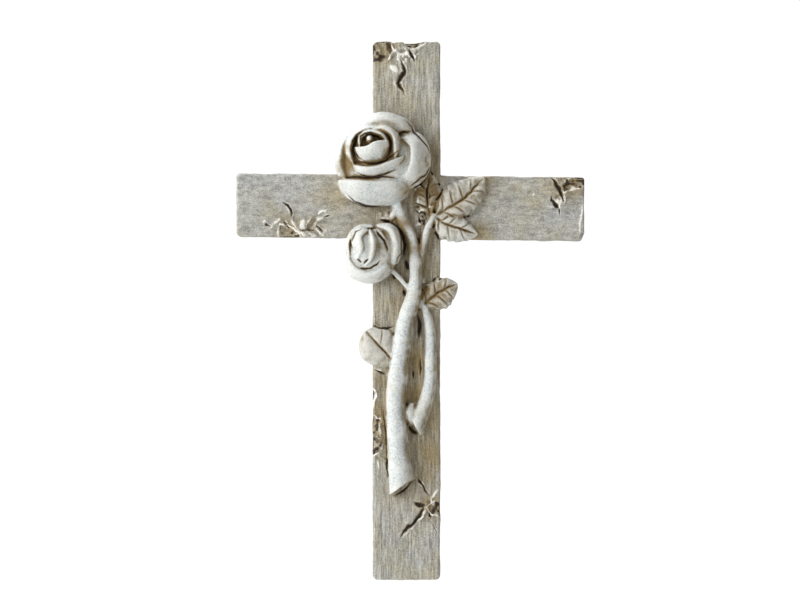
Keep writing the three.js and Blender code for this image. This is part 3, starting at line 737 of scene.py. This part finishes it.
def blobs(x, z, patches):
    """The strongest of some soft round patches given as x, z, reach and strength."""
    return np.max([strength * np.exp(-((x - cx) ** 2 + (z - cz) ** 2) / reach ** 2)
                   for cx, cz, reach, strength in patches], axis=0)


def work_surface(ob):
    """Cuts cracks, chips and veins into the skin and makes it as uneven as a hand-finished casting."""
    mesh = ob.data
    points = read_vectors(mesh.vertices, "co") / MM
    normals = read_vectors(mesh.vertices, "normal")
    x, z = points[:, 0], points[:, 2]
    on_bars, low, on_leaf, on_flower = faces_of(points, normals)
    proud = smooth(0.5, 2, -points[:, 1] - THICKNESS)
    behind = smooth(0.5, 0.9, normals[:, 1])
    rim = 1 - smooth(0.6, 0.95, np.abs(normals[:, 1]))

    uneven = random_bumps(points, 9, 1) * 0.14 + random_bumps(points, 3.5, 2) * 0.07
    uneven += proud * (random_bumps(points, 2.2, 3) * 0.06 + random_bumps(points, 1.3, 8) * 0.04)
    uneven += rim * (1 - proud) * (random_bumps(points, 2.4, 9) * 0.15 + random_bumps(points, 6, 10) * 0.2)
    sway = np.stack([random_bumps(points, 9, seed) * 0.4 + random_bumps(points, 4, seed + 3) * 0.12
                     for seed in (21, 22, 23)], axis=1)
    moved = normals * (uneven * (1 - behind))[:, None] + sway * proud[:, None]

    broken, _, _ = damage(x, z)
    crumbled, _, _ = crumbs(x, z)
    gap, _ = scored(x, z, CREVICES, 41)
    fold, _ = scored(x, z, FOLDS, 42)
    vein, _ = scored(x, z, leaf_veins(), 43)
    folded = np.maximum(low, on_flower) * fold
    moved[:, 1] -= on_bars * broken + low * (crumbled - gap) - on_leaf * vein - folded
    top_end = smooth(82, 86, z) * smooth(2, 9, -points[:, 1])
    nibbled = top_end * np.clip(flat_bumps(x, 0 * z, 3.4, 61) + 0.15, 0, 1)
    moved[:, 2] -= 1.2 * nibbled
    mesh.vertices.foreach_set("co", ((points + moved) * MM).ravel())
    mesh.update()


def thin_out(ob):
    """Fewer triangles where the skin is plain."""
    triangles = sum(len(p.vertices) - 2 for p in ob.data.polygons)
    thin = ob.modifiers.new("thin", 'DECIMATE')
    thin.ratio = min(1.0, SKIN_TRIANGLES / triangles)
    mesh = applied_mesh(ob)
    ob.modifiers.clear()
    ob.data = mesh


# Where wash, stain, dry-brushed paint and painted shade lie, as values on the casting's vertices

def spread_values(values, edges, times):
    """Averages vertex values with their neighbours'."""
    count = np.bincount(edges.ravel(), minlength=len(values)) + 1.0
    for _ in range(times):
        total = values.copy()
        np.add.at(total, edges[:, 0], values[edges[:, 1]])
        np.add.at(total, edges[:, 1], values[edges[:, 0]])
        values = total / count
    return values


def shelter(mesh, reach, rays):
    """How far each vertex is closed in by the casting round it, from 0, open, to 1."""
    points = [v.co.copy() for v in mesh.vertices]
    normals = [v.normal.copy() for v in mesh.vertices]
    tree = BVHTree.FromPolygons(points, [p.vertices[:] for p in mesh.polygons])
    golden = math.pi * (3 - math.sqrt(5))
    bowl = []
    for i in range(rays):
        up = math.sqrt(1 - (i + 0.5) / rays)
        flat = math.sqrt(1 - up * up)
        bowl.append(Vector((flat * math.cos(golden * i), flat * math.sin(golden * i), up)))
    closed = np.zeros(len(points))
    for i, (point, normal) in enumerate(zip(points, normals)):
        turn = normal.to_track_quat('Z', 'X')
        start = point + normal * 0.00012
        total = 0.0
        for ray in bowl:
            hit = tree.ray_cast(start, turn @ ray, reach)
            if hit[3] is not None:
                total += 1 - hit[3] / reach
        closed[i] = total / rays
    return closed


def store(mesh, name, values):
    layer = mesh.attributes.new(name, 'FLOAT', 'POINT')
    layer.data.foreach_set("value", np.asarray(values, np.float32))


def lay_finish(ob, forms_tree, forms_paint):
    mesh = ob.data
    points = read_vectors(mesh.vertices, "co") / MM
    normals = read_vectors(mesh.vertices, "normal")
    edges = np.empty(len(mesh.edges) * 2, np.int64)
    mesh.edges.foreach_get("vertices", edges)
    edges = edges.reshape(-1, 2)
    x, z = points[:, 0], points[:, 2]
    on_bars, low, on_leaf, on_flower = faces_of(points, normals)
    proud = smooth(0.5, 2, -points[:, 1] - THICKNESS)

    paint = np.array([forms_paint[forms_tree.find_nearest(Vector(p))[2]] for p in points])
    # On the relief the white paint thins out on faces turned to the viewer's right: painted shade on the side
    # away from the window light
    paint = spread_values(paint, edges, 2) * (1 - 0.9 * proud * smooth(0.2, 0.8, normals[:, 0]))
    wide = spread_values(shelter(mesh, WIDE_REACH, 18), edges, 2) * (0.27 + 0.73 * proud)
    wide = wide + proud * blobs(x, z, WASHES)
    # Closeness within 2.6 mm: carries the dark wash and the painted contact shade at the junctions of the
    # forms
    close_wash_and_shade = spread_values(shelter(mesh, CLOSE_REACH, 14), edges, 1)

    flat = np.stack([spread_values(points[:, k], edges, 5) for k in range(3)], axis=1)
    ridge = np.einsum('ij,ij->i', points - flat, normals)
    ridge = spread_values(np.clip(ridge / 0.12, -1, 1), edges, 1) * (0.2 + 0.8 * proud)

    _, dark, bare_and_highlight = damage(x, z)
    _, pits, lumps = crumbs(x, z)
    _, gap = scored(x, z, CREVICES, 41)
    _, fold = scored(x, z, FOLDS, 42)
    _, vein = scored(x, z, leaf_veins(), 43)
    folded = np.maximum(low, on_flower) * fold
    dark = np.max([on_bars * dark, low * gap, low * pits, 0.46 * on_leaf * vein, folded], axis=0)
    rim = (1 - proud) * (1 - smooth(0.5, 0.9, np.abs(normals[:, 1])))
    dark = np.maximum(dark, 0.27 * rim)
    bare_and_highlight = np.maximum(on_bars * bare_and_highlight, 0.8 * low * lumps)
    stain = np.zeros(len(points))
    for shape in STEMS + LEAVES:
        away, _ = near_line(x, z, [p[:2] for p in shape.get("line", shape.get("rib"))])
        stain = np.maximum(stain, 0.75 * np.exp(-(away / 8) ** 2))
    stain = np.maximum(stain, blobs(x, z, STAINS)) * (1 - 0.8 * smooth(-0.1, 0.6, normals[:, 1]))
    across = smooth(UPRIGHT_WIDTH / 2 - 2, UPRIGHT_WIDTH / 2 + 2, np.abs(x))

    store(mesh, "paint", paint)
    store(mesh, "wide_hollow", wide)
    store(mesh, "close_hollow_wash_and_shade", close_wash_and_shade)
    store(mesh, "ridge", ridge)
    store(mesh, "crevice", dark)
    store(mesh, "bare_and_highlight", bare_and_highlight)
    store(mesh, "stain", stain)
    store(mesh, "across", across)


# Finish

def linear(red, green, blue):
    """A colour named as it looks on a screen, 0 to 255, as light values."""
    values = [c / 255 for c in (red, green, blue)]
    return [v / 12.92 if v <= 0.04045 else ((v + 0.055) / 1.055) ** 2.4 for v in values] + [1.0]


class Finish:
    """A material under construction: adds nodes and joins them up."""

    def __init__(self, name):
        self.material = bpy.data.materials.new(name)
        self.material.use_nodes = True
        self.tree = self.material.node_tree
        self.shader = self.tree.nodes["Principled BSDF"]

    def add(self, kind, **settings):
        node = self.tree.nodes.new(kind)
        for name, value in settings.items():
            setattr(node, name, value)
        return node

    def feed(self, socket, value):
        if isinstance(value, bpy.types.NodeSocket):
            self.tree.links.new(value, socket)
        else:
            socket.default_value = value

    def value_on(self, name):
        return self.add('ShaderNodeAttribute', attribute_name=name).outputs['Fac']

    def noise(self, stretch, detail, roughness, shift=(0, 0, 0)):
        where = self.add('ShaderNodeMapping')
        self.feed(where.inputs['Vector'], self.add('ShaderNodeTexCoord').outputs['Object'])
        where.inputs['Scale'].default_value = stretch
        where.inputs['Location'].default_value = shift
        node = self.add('ShaderNodeTexNoise')
        self.feed(node.inputs['Vector'], where.outputs['Vector'])
        node.inputs['Scale'].default_value = 1
        node.inputs['Detail'].default_value = detail
        node.inputs['Roughness'].default_value = roughness
        return node.outputs['Fac']

    def step(self, value, low, high, to_low=0.0, to_high=1.0):
        node = self.add('ShaderNodeMapRange', interpolation_type='SMOOTHSTEP')
        self.feed(node.inputs['Value'], value)
        for name, number in (('From Min', low), ('From Max', high), ('To Min', to_low), ('To Max', to_high)):
            node.inputs[name].default_value = number
        return node.outputs['Result']

    def sum(self, how, a, b):
        node = self.add('ShaderNodeMath', operation=how)
        self.feed(node.inputs[0], a)
        self.feed(node.inputs[1], b)
        return node.outputs[0]

    def blend(self, share, under, over):
        node = self.add('ShaderNodeMix', data_type='RGBA', blend_type='MIX')
        self.feed(node.inputs[0], share)
        self.feed(node.inputs[6], under)
        self.feed(node.inputs[7], over)
        return node.outputs[2]

    def shade(self, colour, grain):
        node = self.add('ShaderNodeMix', data_type='RGBA', blend_type='MULTIPLY')
        node.inputs[0].default_value = 1
        self.feed(node.inputs[6], colour)
        self.feed(node.inputs[7], grain)
        return node.outputs[2]

    def blend_values(self, share, under, over):
        node = self.add('ShaderNodeMix', data_type='FLOAT')
        self.feed(node.inputs[0], share)
        self.feed(node.inputs[2], under)
        self.feed(node.inputs[3], over)
        return node.outputs[0]


def antiqued_resin():
    f = Finish("antiqued_resin")
    paint, ridge, bare_and_highlight = f.value_on("paint"), f.value_on("ridge"), f.value_on("bare_and_highlight")
    wide, close_wash_and_shade, crevice = f.value_on("wide_hollow"), f.value_on("close_hollow_wash_and_shade"), f.value_on("crevice")
    stain, across = f.value_on("stain"), f.value_on("across")

    down = f.noise((1250, 500, 110), 4, 0.65)
    along = f.noise((240, 500, 620), 4, 0.65)
    mottle = f.noise((420, 420, 420), 5, 0.7, (3, 1, 7))
    speckle = f.noise((1900, 1900, 1900), 3, 0.7, (11, 5, 2))
    broad = f.noise((55, 55, 55), 3, 0.6, (2, 9, 4))

    # Brushed grain of the bars, tan and grey patches, and the yellow-brown stain
    streaks = f.blend_values(across, down, f.blend_values(0.4, along, mottle))
    streaks = f.blend_values(0.45, streaks, speckle)
    colour = f.blend(f.step(broad, 0.4, 0.7, 0.0, 0.55), linear(178, 177, 170), linear(171, 161, 129))
    cool = f.noise((38, 38, 38), 2, 0.5, (5, 5, 8))
    colour = f.blend(f.step(cool, 0.5, 0.72, 0.0, 0.7), colour, linear(177, 178, 177))
    washed = f.sum('MULTIPLY', stain, f.step(broad, 0.25, 0.6, 0.65, 1.0))
    colour = f.blend(washed, colour, linear(140, 119, 70))
    colour = f.shade(colour, f.step(streaks, 0.32, 0.68, 0.36, 1.62))

    # White dry-brushed on the relief, thinned on faces turned to the right as painted shade, brightest on its
    # ridges, with dark pores
    brushed = f.sum('ADD', paint, f.sum('MULTIPLY', f.sum('SUBTRACT', mottle, 0.5), 0.7))
    brushed = f.sum('MULTIPLY', f.step(brushed, 0.1, 0.95), f.step(wide, 0.16, 0.5, 1.0, 0.0))
    grit = f.noise((950, 950, 950), 3, 0.75, (4, 6, 3))
    white = f.blend(f.step(grit, 0.34, 0.62), linear(188, 191, 189), linear(220, 227, 227))
    white = f.blend(f.step(broad, 0.48, 0.72, 0.0, 0.45), white, linear(190, 181, 152))
    colour = f.blend(brushed, colour, white)
    colour = f.blend(f.step(ridge, 0.15, 0.7, 0.0, 0.55), colour, linear(232, 231, 224))
    pores = f.noise((1600, 1600, 1600), 3, 0.7, (7, 3, 1))
    colour = f.blend(f.step(pores, 0.5, 0.72, 0.0, 0.4), colour, linear(114, 107, 90))

    # Thin wash in wide hollows, bare broken edges with one painted edge highlight, dark wash with painted
    # contact shade in close hollows, and dark wash in cracks
    thin = f.sum('ADD', wide, f.sum('MULTIPLY', f.sum('SUBTRACT', mottle, 0.5), 0.3))
    colour = f.blend(f.step(thin, 0.07, 0.36, 0.0, 0.9), colour, linear(128, 105, 60))
    # bare broken lips, and the painted highlight along the right arm's end
    worn_and_highlight = f.sum('MULTIPLY', bare_and_highlight, f.step(mottle, 0.35, 0.55, 0.5, 1.0))
    colour = f.blend(f.step(worn_and_highlight, 0.15, 0.6, 0.0, 0.95), colour, linear(246, 244, 236))
    # Near-black brown in close hollows where forms meet: partly dark wash, partly painted contact shade
    thick_wash_and_shade = f.sum('ADD', close_wash_and_shade, f.sum('MULTIPLY', f.sum('SUBTRACT', mottle, 0.5), 0.25))
    colour = f.blend(f.step(thick_wash_and_shade, 0.16, 0.36, 0.0, 0.95), colour, linear(54, 39, 22))
    colour = f.blend(f.step(crevice, 0.15, 0.5, 0.0, 0.8), colour, linear(104, 84, 50))
    colour = f.blend(f.step(crevice, 0.36, 0.74, 0.0, 0.96), colour, linear(40, 28, 16))
    f.feed(f.shader.inputs['Base Color'], colour)

    f.feed(f.shader.inputs['Roughness'], f.step(mottle, 0.3, 0.7, 0.48, 0.7))
    f.shader.inputs['Specular IOR Level'].default_value = 0.4
    bump = f.add('ShaderNodeBump')
    bump.inputs['Strength'].default_value = 0.6
    bump.inputs['Distance'].default_value = 0.0003
    f.feed(bump.inputs['Height'], f.blend_values(0.4, streaks, speckle))
    f.feed(f.shader.inputs['Normal'], bump.outputs['Normal'])
    return f.material


def resin_cross():
    forms = all_forms()
    forms_tree = BVHTree.FromBMesh(forms)
    layer = forms.faces.layers.float["paint"]
    forms_paint = [face[layer] for face in forms.faces]
    bmesh.ops.scale(forms, vec=(MM, MM, MM), verts=forms.verts)
    casting = skin_over(forms)
    work_surface(casting)
    thin_out(casting)
    lay_finish(casting, forms_tree, forms_paint)
    mesh = casting.data
    mesh.materials.clear()
    mesh.materials.append(antiqued_resin())
    mesh.shade_smooth()
    casting.name = "resin_casting"
    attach(casting, "root")
    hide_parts("resin_cross")
    return casting


# Studio

FLOOR_DROP = 1.25                # the cross hangs this far above the floor
FLOOR_RADIUS = 6.0
FRAME_WIDTH = 0.4156             # width of the picture at the face of the bars
CAMERA_AWAY = 1.30


def pale_floor():
    bm = bmesh.new()
    bmesh.ops.create_circle(bm, cap_ends=True, segments=96, radius=FLOOR_RADIUS)
    bmesh.ops.translate(bm, vec=(0, 0, -FLOOR_DROP), verts=bm.verts)
    floor = new_object("pale_floor", bm)
    f = Finish("pale_floor")
    f.feed(f.shader.inputs['Base Color'], f.blend(f.noise((3, 3, 3), 3, 0.5), linear(232, 232, 230),
                                                  linear(238, 238, 236)))
    f.shader.inputs['Roughness'].default_value = 0.8
    floor.data.materials.append(f.material)


def soft_light(name, place, aim, size, power, colour):
    lamp = bpy.data.lights.new(name, 'AREA')
    lamp.size = size
    lamp.energy = power
    lamp.color = colour
    ob = bpy.data.objects.new(name, lamp)
    ob.location = place
    ob.rotation_euler = (Vector(aim) - Vector(place)).to_track_quat('-Z', 'Y').to_euler()
    bpy.context.scene.collection.objects.link(ob)


def white_surround():
    """A grey studio with a white sweep behind the cross."""
    world = bpy.data.worlds.new("studio")
    world.use_nodes = True
    nodes, links = world.node_tree.nodes, world.node_tree.links
    sky = nodes["Background"]
    where = nodes.new('ShaderNodeTexCoord')
    split = nodes.new('ShaderNodeSeparateXYZ')
    sweep = nodes.new('ShaderNodeMapRange')
    sweep.interpolation_type = 'SMOOTHSTEP'
    for name, number in (('From Min', 0.3), ('From Max', 0.85), ('To Min', 0.4), ('To Max', 1.05)):
        sweep.inputs[name].default_value = number
    links.new(where.outputs['Generated'], split.inputs[0])
    links.new(split.outputs['Y'], sweep.inputs['Value'])
    links.new(sweep.outputs['Result'], sky.inputs['Strength'])
    sky.inputs['Color'].default_value = (1, 1, 1, 1)
    bpy.context.scene.world = world


def camera():
    lens = bpy.data.cameras.new("camera")
    lens.sensor_width = 36
    lens.lens = 36 * CAMERA_AWAY / FRAME_WIDTH
    ob = bpy.data.objects.new("camera", lens)
    ob.location = (-3.4 * MM, -(CAMERA_AWAY + THICKNESS * MM), -48.4 * MM)
    ob.rotation_euler = (math.pi / 2, 0, 0)
    bpy.context.scene.collection.objects.link(ob)
    bpy.context.scene.camera = ob


camera()
resin_cross()
pale_floor()
white_surround()
soft_light("window", (-2.5, -1.3, 1.0), (0, 0, -0.04), 2.4, 101, (1, 1, 1))
soft_light("overhead", (0, 1.4, 2.2), (0, 1.0, -1.25), 3, 70, (1, 1, 1))
bpy.context.scene.view_settings.view_transform = 'Standard'
